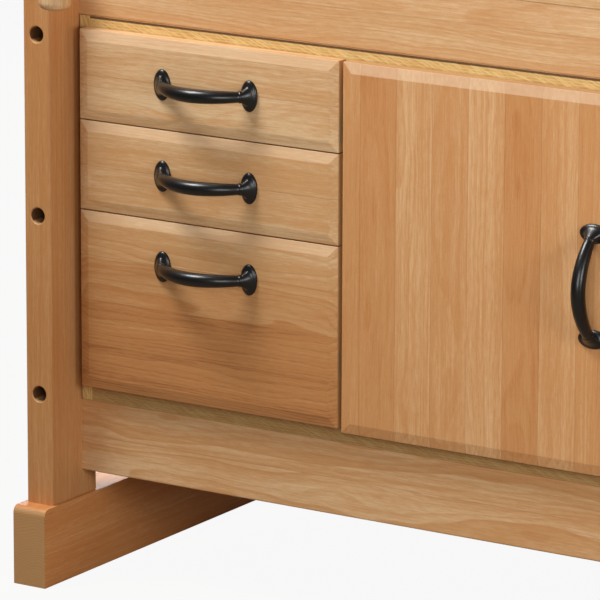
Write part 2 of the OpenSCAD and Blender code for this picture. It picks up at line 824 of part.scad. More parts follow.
// One skin from the foot of the left plate, along the bar, to the foot of the right plate
module pull() {
    right = plate_rings(1);
    rings = concat(plate_rings(-1), [for (i = [0:bow_steps]) bar_ring(neck_share * (2 * i / bow_steps - 1))],
                   [for (i = [len(right) - 1:-1:0]) right[i]]);
    n = ring_sides;
    last = (len(rings) - 1) * n;
    color(BLACK_IRON) polyhedron([for (ring = rings) each ring], concat(
        [for (i = [0:n:last - n], k = [0:n - 1]) [i + k, i + (k + 1) % n, i + n + (k + 1) % n]],
        [for (i = [0:n:last - n], k = [0:n - 1]) [i + k, i + n + (k + 1) % n, i + n + k]],
        [[for (k = [0:n - 1]) n - 1 - k], [for (k = [0:n - 1]) last + k]]), convexity = 4);
}

module drawer_pull(front_z, front_h) {
    translate([drawer_x + front_w / 2, front_y, front_z + front_h - small_front_h / 2]) pull();
}

module door_pull(hand) {
    x = hand < 0 ? door_xs[0] + front_w - door_pull_in : door_xs[1] + door_pull_in;
    translate([x, front_y, door_z + door_h / 2]) rotate([0, 90, 0]) pull();
}

// Each line draws one node
place() foot(-1);  // left_foot
place() foot(1);  // right_foot
place() front_leg(-1);  // front_left_leg
place() front_leg(1);  // front_right_leg
place() rear_leg(-1);  // rear_left_leg
place() rear_leg(1);  // rear_right_leg
place() bearer(-1);  // left_bearer
place() bearer(1);  // right_bearer
place() rail(rail_set, top_rail_z, 1);  // front_top_rail
place() rail(rail_set, rail_lift, 1);  // front_lower_rail
place() rail(base_d - rail_set - rail_t, top_rail_z, -1);  // rear_top_rail
place() rail(base_d - rail_set - rail_t, rail_lift, -1);  // rear_lower_rail
place() rail_bolts();
place() top_slab();
place() front_apron();
place() rear_apron();
place() end_cap(-1);  // left_end_cap
place() end_cap(1);  // right_end_cap
place() top_pegs();
place() at_front_vise() vise_jaw(front_jaw_w);  // front_vise_jaw
place() at_front_vise() vise_flange();  // front_vise_flange
place() at_front_vise() vise_screw(front_reach);  // front_vise_screw
place() at_front_vise() vise_rods(front_reach);  // front_vise_rods
place() front_vise_nut_blocks();
place() at_front_vise() vise_handle();  // front_vise_handle
place() at_front_vise() vise_knobs();  // front_vise_knobs
place() end_vise_jaw();
place() at_end_vise() vise_flange();  // end_vise_flange
place() at_end_vise() vise_screw(end_reach);  // end_vise_screw
place() at_end_vise() vise_rods(end_reach);  // end_vise_rods
place() end_vise_nut_block();
place() at_end_vise() vise_handle();  // end_vise_handle
place() at_end_vise() vise_knobs();  // end_vise_knobs
place() bench_dog(slab_dog_x);  // slab_dog
place() bench_dog(jaw_dog_x);  // jaw_dog
place() cabinet_side(-1);  // cabinet_left_side
place() cabinet_side(1);  // cabinet_right_side
place() cabinet_deck(bay_top_z);  // cabinet_top
place() cabinet_deck(cab_z);  // cabinet_bottom
place() cabinet_partition();
place() cabinet_back();
place() shelf();
place() shelf_pins();
place() drawer_runners();
place() drawer_front(upper_front_z, small_front_h);  // upper_drawer_front
place() drawer_front(middle_front_z, small_front_h);  // middle_drawer_front
place() drawer_front(lower_front_z, lower_front_h);  // lower_drawer_front
place() drawer_box(upper_front_z, small_front_h);  // upper_drawer_box
place() drawer_box(middle_front_z, small_front_h);  // middle_drawer_box
place() drawer_box(lower_front_z, lower_front_h);  // lower_drawer_box
place() drawer_pull(upper_front_z, small_front_h);  // upper_drawer_pull
place() drawer_pull(middle_front_z, small_front_h);  // middle_drawer_pull
place() drawer_pull(lower_front_z, lower_front_h);  // lower_drawer_pull
place() door(-1);  // left_door
place() door(1);  // right_door
place() door_pull(-1);  // left_door_pull
place() door_pull(1);  // right_door_pull
place() hinge_arms();
place() hinge_pins();
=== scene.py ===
# %% [markdown]
# # A joiner's workbench, dressed on its CAD frame
# The bench is beech, with a plywood cabinet of drawers and doors between two sled-foot leg frames.
# The solids come packed from the CAD model and stay where they are. This script gives each of them
# its wood, iron or steel, and makes the pieces that are better as smooth or fine meshes: the cast
# pulls, the threaded vise screws, the bolts with their sockets and the small slotted screws.
# Sizes are in millimetres, and become metres when a mesh is made.

# %% Load the packed bench
import json
import math

import bmesh
import bpy
from mathutils import Matrix, Vector

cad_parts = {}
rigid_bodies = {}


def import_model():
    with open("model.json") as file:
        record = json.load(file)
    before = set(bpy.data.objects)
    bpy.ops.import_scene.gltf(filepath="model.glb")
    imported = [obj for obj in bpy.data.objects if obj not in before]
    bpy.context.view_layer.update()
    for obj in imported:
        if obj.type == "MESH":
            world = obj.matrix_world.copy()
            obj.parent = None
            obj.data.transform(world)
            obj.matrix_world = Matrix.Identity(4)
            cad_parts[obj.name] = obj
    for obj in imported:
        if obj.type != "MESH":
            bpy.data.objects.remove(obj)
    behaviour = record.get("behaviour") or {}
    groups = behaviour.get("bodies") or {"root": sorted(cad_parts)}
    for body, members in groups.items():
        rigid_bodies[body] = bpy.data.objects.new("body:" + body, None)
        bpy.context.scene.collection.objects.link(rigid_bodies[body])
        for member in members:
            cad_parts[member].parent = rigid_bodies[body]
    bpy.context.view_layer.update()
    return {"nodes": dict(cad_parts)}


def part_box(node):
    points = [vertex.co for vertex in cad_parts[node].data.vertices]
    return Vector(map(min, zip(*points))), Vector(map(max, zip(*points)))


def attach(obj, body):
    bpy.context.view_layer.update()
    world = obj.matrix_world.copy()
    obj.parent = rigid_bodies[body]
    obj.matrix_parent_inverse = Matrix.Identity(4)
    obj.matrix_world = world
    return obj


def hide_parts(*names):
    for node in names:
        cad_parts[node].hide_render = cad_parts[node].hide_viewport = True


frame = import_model()

# %% [markdown]
# ## Shader maths as Python
# A wood shader is mostly arithmetic on a position. Wiring that by hand hides the idea, so a small
# class wraps each output of a node, and the usual operators add the Math nodes. Colours are mixed
# and vectors go through Vector Math, because a Math node would turn a colour grey.


# %% One wrapped socket
class Signal:
    """An output of a node in one tree, which acts like a number, a vector or a colour."""

    def __init__(self, nodes, socket):
        self.nodes, self.socket = nodes, socket

    def maths(self, operation, *values, swapped=False):
        """A Math node, or a Vector Math node where a vector takes part."""
        parts = [*values, self] if swapped else [self, *values]
        if "VECTOR" in {p.socket.type for p in parts if isinstance(p, Signal)}:
            parts = [(p,) * 3 if isinstance(p, (int, float)) else p for p in parts]
            return self.nodes.node("VectorMath", {"operation": operation}, dict(enumerate(parts)), "Vector")
        return self.nodes.node("Math", {"operation": operation}, dict(enumerate(parts)), "Value")

    def __add__(self, other): return self.maths("ADD", other)
    def __sub__(self, other): return self.maths("SUBTRACT", other)
    def __mul__(self, other): return self.maths("MULTIPLY", other)
    def __truediv__(self, other): return self.maths("DIVIDE", other)
    def __radd__(self, other): return self.maths("ADD", other)
    def __rsub__(self, other): return self.maths("SUBTRACT", other, swapped=True)
    def __rmul__(self, other): return self.maths("MULTIPLY", other)
    def __rtruediv__(self, other): return self.maths("DIVIDE", other, swapped=True)
    def __abs__(self): return self.maths("ABSOLUTE")

    def floor(self): return self.maths("FLOOR")
    def fract(self): return self.maths("FRACT")
    def power(self, exponent): return self.maths("POWER", exponent)
    def most(self, other): return self.maths("MAXIMUM", other)

    def ramp(self, low, high):
        """A smooth step from 0 at low to 1 at high."""
        return self.nodes.node("MapRange", {"interpolation_type": "SMOOTHSTEP"},
                               {"Value": self, "From Min": low, "From Max": high}, "Result")

    def parts(self):
        """The three numbers of a vector."""
        split = self.nodes.node("SeparateXYZ", {}, {0: self}, None)
        return [Signal(self.nodes, out) for out in split.outputs]


print("a signal knows", sum(callable(f) for f in vars(Signal).values()) - 1, "operations")


# %% A node tree under construction
class Nodes:
    """A node tree that grows by one call at a time."""

    def __init__(self, tree):
        self.tree = tree
        tree.nodes.clear()

    def node(self, kind, settings, sockets, out=0):
        """Adds a node: first its settings, then the values or links of its sockets. Returns one
        output of it, or the node itself where out is None."""
        made = self.tree.nodes.new("ShaderNode" + kind)
        for key, value in settings.items():
            if key == "steps":
                made.color_ramp.interpolation = "CONSTANT"
                while len(made.color_ramp.elements) < len(value):
                    made.color_ramp.elements.new(1.0)
                for i, step in enumerate(value):
                    stop = made.color_ramp.elements[i]
                    stop.position, stop.color = i / len(value), (step, step, step, 1.0)
            else:
                setattr(made, key, value)
        for key, value in sockets.items():
            self.put(made.inputs[key], value)
        return made if out is None else Signal(self, made.outputs[out])

    def put(self, socket, value):
        if isinstance(value, Signal):
            self.tree.links.new(value.socket, socket)
        elif socket.type == "RGBA":
            socket.default_value = (*value, 1.0)
        else:
            socket.default_value = value

    def seen(self):
        """1 for what the camera sees, also through glass, and 0 for light on its way."""
        ray = self.node("LightPath", {}, {}, None)
        return Signal(self, ray.outputs["Is Camera Ray"]).most(Signal(self, ray.outputs["Is Transmission Ray"]))


print("kinds of shader node to choose from:", sum(kind.startswith("ShaderNode") for kind in dir(bpy.types)))


# %% A finish under construction
MM = 1000.0  # millimetres in a metre


class Finish(Nodes):
    """A material that ends in one Principled shader."""

    def __init__(self, name, **values):
        self.material = bpy.data.materials.new(name)
        self.material.use_nodes = True
        super().__init__(self.material.node_tree)
        self.shader = self.node("BsdfPrincipled", {}, {}, None)
        self.output = self.node("OutputMaterial", {}, {"Surface": Signal(self, self.shader.outputs[0])}, None)
        self.set(**values)

    def set(self, **values):
        """Sets or feeds the shader's sockets, such as Base_Color."""
        for key, value in values.items():
            self.put(self.shader.inputs[key.replace("_", " ")], value)

    def place(self):
        """The position in millimetres and the normal, both in the object's own coordinates."""
        coords = self.node("TexCoord", {}, {}, None)
        return Signal(self, coords.outputs["Object"]) * MM, Signal(self, coords.outputs["Normal"])

    def mix(self, amount, first, second, blend="MIX"):
        """Colour mixing; amount is 0 for first and 1 for second."""
        mixer = self.node("Mix", {"data_type": "RGBA", "blend_type": blend, "clamp_factor": True},
                          {0: amount, 6: first, 7: second}, None)
        return Signal(self, mixer.outputs[2])

    def noise(self, place, detail=2.0, roughness=0.5):
        """Soft noise around 0.5, with lumps about one unit of place across."""
        return self.node("TexNoise", {}, {"Vector": place, "Scale": 1.0, "Detail": detail, "Roughness": roughness})

    def random(self, number):
        """A random number from 0 to 1 that belongs to a whole number."""
        return self.node("TexWhiteNoise", {"noise_dimensions": "1D"}, {"W": number}, "Value")

    def step(self, number, values):
        """The value of a list at a whole number; a value below 0 counts as 0."""
        return self.node("ValToRGB", {"steps": values}, {0: (number + 0.5) / len(values)})

    def vector(self, x, y, z):
        return self.node("CombineXYZ", {}, {0: x, 1: y, 2: z})

    def drawn(self, along, v, w, size):
        """A position in units of a size that is long along the grain and narrow across it."""
        length, width = size
        return self.vector(along / length, v / width, w / width)

    def bump(self, height, strength, depth, edge):
        """A normal that follows a height of a depth and rounds the edges of the mesh, in millimetres."""
        rounded = self.node("Bevel", {"samples": 4}, {"Radius": edge / MM})
        return self.node("Bump", {}, {"Strength": strength, "Distance": depth / MM, "Height": height,
                                      "Normal": rounded})


def srgb(red, green, blue):
    """A colour as it is read off a screen, 0 to 255, turned into Blender's linear values."""
    return tuple(c / 255 / 12.92 if c < 11 else ((c / 255 + 0.055) / 1.055) ** 2.4 for c in (red, green, blue))


print("half grey on a screen is", round(srgb(128, 128, 128)[0], 3), "in linear light")

# %% [markdown]
# ## Beech
# Steamed beech is an even, pinkish tan wood. From a step away one sees the tones of its staves and
# long soft streaks, then faint arches where the saw met the rings flat, and close up the short dark
# flecks that are beech's mark. A picture of wood stretched over each board would repeat and slide at
# the edges. Here the figure is worked out in the three dimensions of the trunk instead, so faces,
# edges and ends agree: rings around a pith beside the board, and noise drawn out along the grain.
# All of it lives in the object's own coordinates, and moves with a drawer or a door.

# %% The tones of oiled beech
BEECH_PALE = srgb(233, 200, 156)
BEECH_TAN = srgb(210, 159, 106)
BEECH_WARM = srgb(196, 135, 80)
BEECH_DEEP = srgb(164, 104, 58)
BEECH_LINE = srgb(146, 92, 55)
BEECH_END = srgb(190, 150, 100)
# Painted sheen for the bevels that look up
BEECH_SHEEN = srgb(226, 202, 172)
# Painted shade for the walls of holes
BEECH_HOLE_SHADE = srgb(58, 34, 22)
OILED = (1.0, 0.7, 0.45)
print("beech tones from", [round(c, 3) for c in BEECH_PALE], "to", [round(c, 3) for c in BEECH_DEEP])

# %% [markdown]
# ## Staves
# A wide board is glued from staves that never match, and in a door or a panel their different tones
# are what the eye sees first. Each stave needs chances of its own, but one material has to hold them
# all. So the number of the stave a point lies in is worked out, and everything random starts from it.

# %% Staves across a board
AXES = {"X": (0, 1, 2), "Y": (1, 0, 2), "Z": (2, 0, 1)}
WHOLE = 1000.0  # a stave so wide that the board is one piece
KEY_STEP, CHANCE_STEP = 7.31, 3.7


def axes(grain, across):
    """The axes along the grain, across the staves and through the board, as numbers."""
    along, v, w = AXES[grain]
    return (along, w, v) if across else (along, v, w)


def staves(wood, v, start, stave, seed, tones, tone, spread):
    """Where a point lies across its stave, from -0.5 to 0.5, and the stave's key, chances and shade."""
    strip = ((v - start) / stave).floor()
    inside = ((v - start) / stave).fract() - 0.5
    key = strip * KEY_STEP + seed
    chance = [wood.random(key + n * CHANCE_STEP) for n in range(4)]
    shade = wood.step(strip, tones) if tones else (chance[3] - 0.5) * spread + tone
    return inside, key, chance, shade


print("a rail's grain, staves and thickness lie along", ["XYZ"[i] for i in axes("X", True)])

# %% [markdown]
# ## Year rings
# The arches on a flat-sawn board are the tree's rings, cut at a slant. Drawing arches would fail at
# the board's edges and ends. Cylinders around a pith that lies beside the stave and leans a little
# give arches, straight lines and end rings from one formula, and slow noise makes them wander.

# %% Rings around a pith
RING_MM = 3.4
PITH_ASIDE, PITH_NEAR, PITH_FURTHER = 110.0, 45.0, 70.0
PITH_LEAN, LEAN_FROM = 0.06, 60.0
WANDER_SIZE, WANDER_MM = (280.0, 70.0), 26.0


def year_rings(wood, along, v, w, inside, stave, key, chance):
    """The late wood of each ring, from 0 to 1, the year's own chance, and how the grain wanders."""
    wander = wood.noise(wood.drawn(along, v, w, WANDER_SIZE) + key * 1.7) - 0.5
    pith_v = (inside * stave + (chance[0] - 0.5) * PITH_ASIDE
              + (along - LEAN_FROM) * ((chance[2] - 0.5) * PITH_LEAN))
    pith_w = w + (chance[1] * PITH_FURTHER + PITH_NEAR)
    rings = ((pith_v.power(2.0) + pith_w.power(2.0)).power(0.5) + wander * WANDER_MM) / RING_MM
    late = rings.fract().ramp(0.35, 0.9) * (1.0 - rings.fract().ramp(0.9, 1.0))
    return late, wood.random(rings.floor() + key), wander


print("a stave shows rings", RING_MM, "mm apart, from a pith", PITH_NEAR, "to", PITH_NEAR + PITH_FURTHER, "mm away")

# %% [markdown]
# ## Oil, and painted sheen and shade
# Oil soaks in and turns a board darker and redder. A painted sheen pales the bevels that look up,
# as the light from above would, and painted shade darkens the walls of a hole. Each is one more mix
# over the wood's colour, placed by where a face looks and where it lies, because a painted mask would
# need its own unwrapped picture.


# %% Oil, painted sheen and painted shade in holes
def oil_sheen_and_hole_shade(wood, colour, up, through, inside, stave, oil, bevel, bore):
    """Oiled wood, with painted sheen on the bevels that look up and painted shade on the walls of holes; up and through
    are how far a face looks up and through the board.
    """
    if oil:
        colour = wood.mix(oil, colour, OILED, "MULTIPLY")
    if bevel:
        painted_sheen = up.ramp(0.1, 0.2) * (1.0 - up.ramp(0.3, 0.5))
        colour = wood.mix(painted_sheen * bevel, colour, BEECH_SHEEN)
    if bore:
        off_middle = abs(inside) * stave
        hole_shade = (1.0 - off_middle.ramp(bore, bore + 0.5)) * (1.0 - abs(through).ramp(0.3, 0.6))
        colour = wood.mix(hole_shade * 0.8, colour, BEECH_HOLE_SHADE)
    return colour


print("full oil leaves", OILED, "of the red, green and blue")

# %% [markdown]
# ## The whole beech finish
# The noises are told apart by how long and how wide their lumps are: clouds and streaks over a whole
# board, veins and dashes as wide as a pencil line, and the fibre and the flecks that only show close
# up. One noise with much detail would give all of them the same shape, which no wood has.

# %% The beech finish
# Length along the grain and width across it, in millimetres
CLOUD, STREAK, VEIN, DASH = (210.0, 55.0), (330.0, 6.5), (95.0, 1.9), (15.0, 1.3)
FIBRE, FLECK, PORE = (24.0, 0.6), (2.8, 0.55), (3.0, 0.7)
BEND_MM = 14.0
RING_SHADE = 0.14


def beech(name, grain, across, seed, stave, start, middle, tones=(), tone=0.2, spread=0.5, figure=1.0,
          oil=0.0, bevel=0.0, bore=0.0):
    """Beech with its grain along an axis. Staves repeat every stave millimetres from start, along
    one of the two other axes or, where across is true, along the other one; the board's middle on
    the third axis is at middle. tones are the staves' shades in order, from 0 for pale to 1 for
    warm, or else tone is the mean shade and spread how far they differ. figure is the strength of
    the rings and oil how dark it is. bevel is how strongly a painted sheen pales the bevels
    that look up, and bore is the radius of its holes, whose walls get painted shade."""
    wood = Finish(name, Specular_IOR_Level=0.4, Coat_Roughness=0.4)
    place, normal = wood.place()
    sides, facing = place.parts(), normal.parts()
    along_i, v_i, w_i = axes(grain, across)
    along, v, w = sides[along_i], sides[v_i], sides[w_i] - middle
    end = abs(facing[along_i]).ramp(0.6, 0.8)
    inside, key, chance, base = staves(wood, v, start, stave, seed, tones, tone, spread)
    late, year, wander = year_rings(wood, along, v, w, inside, stave, key, chance)

    # The wide features follow the stave's key, the small ones run through
    bend = v + wander * BEND_MM
    streak = wood.noise(wood.drawn(along, bend, w, STREAK) + key, 2.0, 0.55)
    vein = wood.noise(wood.drawn(along, bend, w, VEIN) + key, 2.0, 0.6)
    dash = wood.noise(wood.drawn(along, bend, w, DASH) + key, 1.0)
    cloud = wood.noise(wood.drawn(along, v, w, CLOUD) + key * 0.9, 1.0)
    fibre = wood.noise(wood.drawn(along, v, w, FIBRE), 2.0, 0.7)
    fleck = wood.noise(wood.drawn(along, v, w, FLECK), 0.0).ramp(0.66, 0.76)

    shade = (base + (streak - 0.5) * 0.6 + (vein - 0.5) * 0.5 + (dash - 0.5) * 0.6 + (cloud - 0.5) * 0.6
             + (late * RING_SHADE + (year - 0.5) * RING_SHADE) * figure)
    colour = wood.mix(shade.ramp(-0.4, 0.4), BEECH_PALE, BEECH_TAN)
    colour = wood.mix(shade.ramp(0.3, 1.0), colour, BEECH_WARM)
    colour = wood.mix(shade.ramp(0.9, 1.6), colour, BEECH_DEEP)
    colour = wood.mix(fleck * (1.0 - end) * 0.16 + (fibre - 0.4).most(0.0) * 0.2, colour, BEECH_LINE)
    if stave < WHOLE:
        joint = (0.5 - abs(inside)) * stave
        colour = wood.mix((1.0 - joint.ramp(0.1, 1.0)) * (1.0 - end) * 0.25, colour, BEECH_LINE)
    colour = oil_sheen_and_hole_shade(wood, colour, facing[2], facing[w_i], inside, stave, oil, bevel, bore)

    # End grain is cooler, with open pores between the rings
    pores = wood.noise(wood.drawn(along, v, w, PORE), 1.0).ramp(0.55, 0.7)
    colour = wood.mix(end * 0.8, colour, BEECH_END)
    colour = wood.mix(end * (late * 0.16 + pores * 0.14), colour, BEECH_LINE)

    height = fibre * 0.5 + vein * 0.5 - late * 0.15 - fleck * 0.3
    wood.set(Base_Color=colour, Roughness=0.46 + (vein - 0.5) * 0.14 + end * 0.16, Coat_Weight=0.12 - end * 0.08,
             Normal=wood.bump(height, strength=0.12, depth=0.4, edge=1.2))
    return wood.material


print("the longest streaks are", STREAK[0], "mm, the shortest flecks", FLECK[0], "mm")

# %% [markdown]
# ## Plywood
# A birch plywood edge is a stack of thin veneers whose grain turns by a right angle from one to
# the next, so pale long-grain layers alternate with darker end-grain ones, cut across in short
# slanting strokes. The layer number comes from the distance to the panel's low face, which keeps
# every panel's edge true to its thickness.

# %% The plywood finish
PLY_FACE = srgb(224, 184, 132)
PLY_FACE_DEEP = srgb(206, 156, 100)
PLY_EDGE = srgb(238, 209, 142)
PLY_CUT = srgb(206, 162, 94)
PLY_GLUE = srgb(150, 104, 58)
PLY_SHADE = srgb(74, 42, 24)
VENEER_MM = 1.6


def plywood(name, thin, face, seed, brown_and_shade, line):
    """Plywood with its layers stacked along the axis thin, from the panel's low face. brown_and_shade is how
    dark its edges are, their own brown and any painted shade, and above the height line, where there is
    one, they get painted deep shade."""
    ply = Finish(name, Specular_IOR_Level=0.4, Coat_Roughness=0.4)
    place, normal = ply.place()
    sides, facing = place.parts(), normal.parts()
    thin_i, a_i, b_i = AXES[thin]
    deep, a, b = sides[thin_i] - face, sides[a_i], sides[b_i]
    layer = (deep / VENEER_MM).floor()
    crossed = (layer * 0.5).fract().ramp(0.2, 0.3)
    glue = abs((deep / VENEER_MM).fract() - 0.5).ramp(0.36, 0.5)
    on_face = abs(facing[thin_i]).ramp(0.6, 0.8)

    slant = (a + b + deep * 2.4) / 5.0
    stroke = ply.noise(ply.vector(slant, (a + b) / 45.0, layer * 0.15), 2.0, 0.6)
    run = ply.noise(ply.vector((a + b) / 60.0, layer * 5.3, deep / 0.5), 2.0)
    edge = ply.mix((crossed * 0.5 + 0.5) * stroke.ramp(0.36, 0.64), PLY_EDGE, PLY_CUT)
    edge = ply.mix(glue * 0.3 + (run - 0.45).most(0.0) * 0.8 + brown_and_shade, edge, PLY_GLUE)
    if line:
        edge = ply.mix((deep - line).ramp(0.0, 0.5) * 0.9, edge, PLY_SHADE)
    figure = ply.noise(ply.vector(a / 190.0, b / 26.0, deep / 60.0 + seed), 3.0, 0.55)
    fine = ply.noise(ply.vector(a / 40.0, b / 1.6, deep / 1.4 + seed), 2.0, 0.6)
    sheet = ply.mix(figure.ramp(0.3, 0.75) * 0.6 + fine * 0.2, PLY_FACE, PLY_FACE_DEEP)
    height = fine * 0.4 + stroke * (1.0 - on_face) * 0.6
    ply.set(Base_Color=ply.mix(on_face, edge, sheet), Roughness=0.6 - on_face * 0.14 + (fine - 0.5) * 0.1,
            Normal=ply.bump(height, strength=0.18, depth=0.4, edge=0.6))
    return ply.material


print("a panel of 18 mm shows", round(18 / VENEER_MM), "veneers")

# %% [markdown]
# ## Iron and steel
# The pulls and the vise flanges are cast iron under black enamel: glossy, with the slight unevenness
# of a casting, which a bump from soft noise gives. The screws and rods are bright steel, with fine
# turning marks round their axis, and the small fittings are zinc plated.


# %% The metal finishes
def black_iron():
    iron = Finish("black enamelled iron", Specular_IOR_Level=0.3, Coat_Roughness=0.22)
    place, _ = iron.place()
    sand = iron.noise(place * 0.55, 3.0, 0.6)
    lump = iron.noise(place * 0.12, 1.0)
    wear = iron.noise(place * 0.3, 4.0, 0.7).ramp(0.6, 0.78)
    colour = iron.mix(wear * 0.3 + lump * 0.2, srgb(8, 8, 9), srgb(26, 25, 24))
    iron.set(Base_Color=colour, Roughness=0.3 + sand * 0.12 + wear * 0.1, Coat_Weight=0.4 - wear * 0.2,
             Normal=iron.bump(sand * 0.5 + lump, strength=0.2, depth=0.5, edge=0.4))
    return iron.material


def steel(name, axis, colour, polish):
    """Turned or drawn steel; the marks lie across the axis."""
    metal = Finish(name, Metallic=1.0)
    place, _ = metal.place()
    sides = place.parts()
    along_i, a_i, b_i = AXES[axis]
    turned_marks = metal.noise(metal.vector(sides[along_i] / 0.3, sides[a_i] / 9.0, sides[b_i] / 9.0), 2.0, 0.6)
    stain = metal.noise(place * 0.06, 3.0, 0.6)
    tint = metal.mix(stain.ramp(0.45, 0.8) * 0.4, colour, tuple(c * 0.55 for c in colour))
    metal.set(Base_Color=tint, Roughness=polish + (turned_marks - 0.5) * 0.16 + stain * 0.1,
              Normal=metal.bump(turned_marks, strength=0.12, depth=0.2, edge=0.3))
    return metal.material


IRON = black_iron()
BRIGHT, POLISHED = srgb(182, 183, 186), 0.24
STEEL_X = steel("turned steel, along X", "X", BRIGHT, POLISHED)
STEEL_Y = steel("turned steel, along Y", "Y", BRIGHT, POLISHED)
ZINC = steel("zinc plated steel", "Z", srgb(190, 192, 190), 0.30)
print("metal finishes:", IRON.name, STEEL_X.name, STEEL_Y.name, ZINC.name)

# %% [markdown]
# ## Which board gets which wood
# Every solid gets a finish whose grain runs the way the maker would cut it: up the legs, along the
# rails and aprons, front to back in the feet, and upright in the doors. Panels are glued up from
# staves of a real width. A board's figure is laid out from the box of its own solid.


# %% Dress a node
def dress(finish, *names):
    for name in names:
        mesh = frame["nodes"][name].data
        mesh.materials.clear()
        mesh.materials.append(finish)


def board(name, grain, seed, stave=WHOLE, across=False, shift=None, **look):
    """Beech for one node; its staves start shift millimetres before its low side."""
    lo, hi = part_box(name)
    _, v_i, w_i = axes(grain, across)
    if shift is None:
        shift = (stave - (hi[v_i] - lo[v_i]) * MM) / 2 if stave == WHOLE else 0.0
    dress(beech("beech, " + name.replace("_", " "), grain, across, seed, stave, lo[v_i] * MM - shift,
                (lo[w_i] + hi[w_i]) * MM / 2, **look), name)


print("boards up to", WHOLE, "mm wide can be one piece")


# %% The leg frames
# bore gives the walls of the front legs' dog holes painted shade
DOG_HOLE_R = 10.2
board("front_left_leg", "Z", 1.3, tone=0.62, bore=DOG_HOLE_R)
board("front_right_leg", "Z", 5.1, tone=0.4, bore=DOG_HOLE_R)
board("rear_left_leg", "Z", 8.7, tone=0.3)
board("rear_right_leg", "Z", 2.9, tone=0.5)
board("left_foot", "Y", 4.4, tone=0.1, oil=0.8)
board("right_foot", "Y", 6.4, tone=0.3, oil=0.8)
board("left_bearer", "Y", 7.9)
board("right_bearer", "Y", 9.6)
print("finishes so far:", len(bpy.data.materials))

# %% The rails and the top
RAIL_STAVE, SLAB_STAVE, APRON_STAVE = 46.0, 68.7, 50.0
board("front_top_rail", "X", 11.7, RAIL_STAVE, True, tones=(0.08, 0.0))
board("front_lower_rail", "X", 14.8, RAIL_STAVE, True, tones=(0.0, 0.12), figure=1.5, oil=0.15)
board("rear_top_rail", "X", 17.9, RAIL_STAVE, True)
board("rear_lower_rail", "X", 21.0, RAIL_STAVE, True)
board("top_slab", "X", 31.0, SLAB_STAVE, spread=0.8)
for seed, name, grain in ((35.2, "front_apron", "X"), (37.2, "rear_apron", "X"), (39.2, "left_end_cap", "Y"),
                          (42.2, "right_end_cap", "Y"), (45.4, "front_vise_jaw", "X"), (48.4, "end_vise_jaw", "Y")):
    board(name, grain, seed, APRON_STAVE, True)
board("front_vise_nut_blocks", "X", 46.1)
board("end_vise_nut_block", "Y", 49.7)
for seed, name in enumerate(("slab_dog", "jaw_dog", "top_pegs")):
    board(name, "Z", 51.5 + seed, tone=0.6)
board("drawer_runners", "Y", 55.3)
print("finishes so far:", len(bpy.data.materials))

# %% The fronts
# bevel paints a sheen on the drawer fronts' and the doors' bevels that look up
DRAWER_STAVE, DOOR_STAVE = 56.0, 49.2
# The drawer fronts' tones grow darker downwards, most on the lower drawer's lower staves: painted shade of the light
# falling off towards the floor, over the staves' own tones
board("upper_drawer_front", "X", 61.1, DRAWER_STAVE, True, tones=(0.0, 0.0), figure=0.8, bevel=0.3)
board("middle_drawer_front", "X", 65.4, DRAWER_STAVE, True, tones=(0.1, 0.15), figure=0.8, bevel=0.3)
board("lower_drawer_front", "X", 69.7, DRAWER_STAVE, True, tones=(1.05, 0.9, 0.55, 0.25), figure=1.6, bevel=0.3)
board("left_door", "Z", 83.9, DOOR_STAVE, shift=DOOR_STAVE - 26, oil=0.35, bevel=0.4,
      tones=(0.3, 0.42, 0.1, 0.22, 0.05, 0.48, 0.12, 0.35))
board("right_door", "Z", 90.2, DOOR_STAVE, shift=14, oil=0.35, bevel=0.4,
      tones=(0.2, 0.05, 0.35, 0.1, 0.25, 0.4, 0.1, 0.2))
print("finishes so far:", len(bpy.data.materials))

# %% The handles, the plywood and the metal
for seed, name in enumerate(("front_vise_handle", "front_vise_knobs", "end_vise_handle", "end_vise_knobs")):
    board(name, "Z", 71.0 + seed, tone=-0.1, figure=0.6)
# The cabinet top's edge gets painted shadow above this height, where the rail's gap shades it, and the cabinet bottom's
# edge is painted darker for the shade under the doors
GAP_LINE, BOTTOM_SHADE, BROWN = 14.8, 0.55, 0.1
for name, thin in (("cabinet_left_side", "X"), ("cabinet_right_side", "X"), ("cabinet_partition", "X"),
                   ("cabinet_top", "Z"), ("cabinet_bottom", "Z"), ("shelf", "Z"), ("cabinet_back", "Y"),
                   ("upper_drawer_box", "Z"), ("middle_drawer_box", "Z"), ("lower_drawer_box", "Z")):
    low_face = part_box(name)[0]["XYZ".index(thin)] * MM
    dress(plywood("plywood, " + name.replace("_", " "), thin, low_face, len(name),
                  BOTTOM_SHADE if name == "cabinet_bottom" else BROWN,
                  GAP_LINE if name == "cabinet_top" else 0.0), name)
dress(IRON, "front_vise_flange", "end_vise_flange")
dress(STEEL_Y, "front_vise_rods", "front_vise_screw")
dress(STEEL_X, "end_vise_rods", "end_vise_screw")
dress(ZINC, "rail_bolts", "shelf_pins", "hinge_arms", "hinge_pins")
print("dressed", sum(bool(o.data.materials) for o in frame["nodes"].values()), "nodes")

# %% [markdown]
# ## Shapes from rings
# Everything below is turned, cast or screwed, and all of it can be drawn as rings of points joined
# into a skin: circles for what comes off a lathe, ovals for a pull's plates, a hexagon for a socket.
# Rings keep the points evenly spaced where a curve bends, which a primitive with its fixed mesh
# doesn't. A piece may hold several such shapes.

# %% Rings into a skin
TO_METRES = Matrix.Scale(1 / MM, 4)
SHARP_ANGLE = math.radians(32)


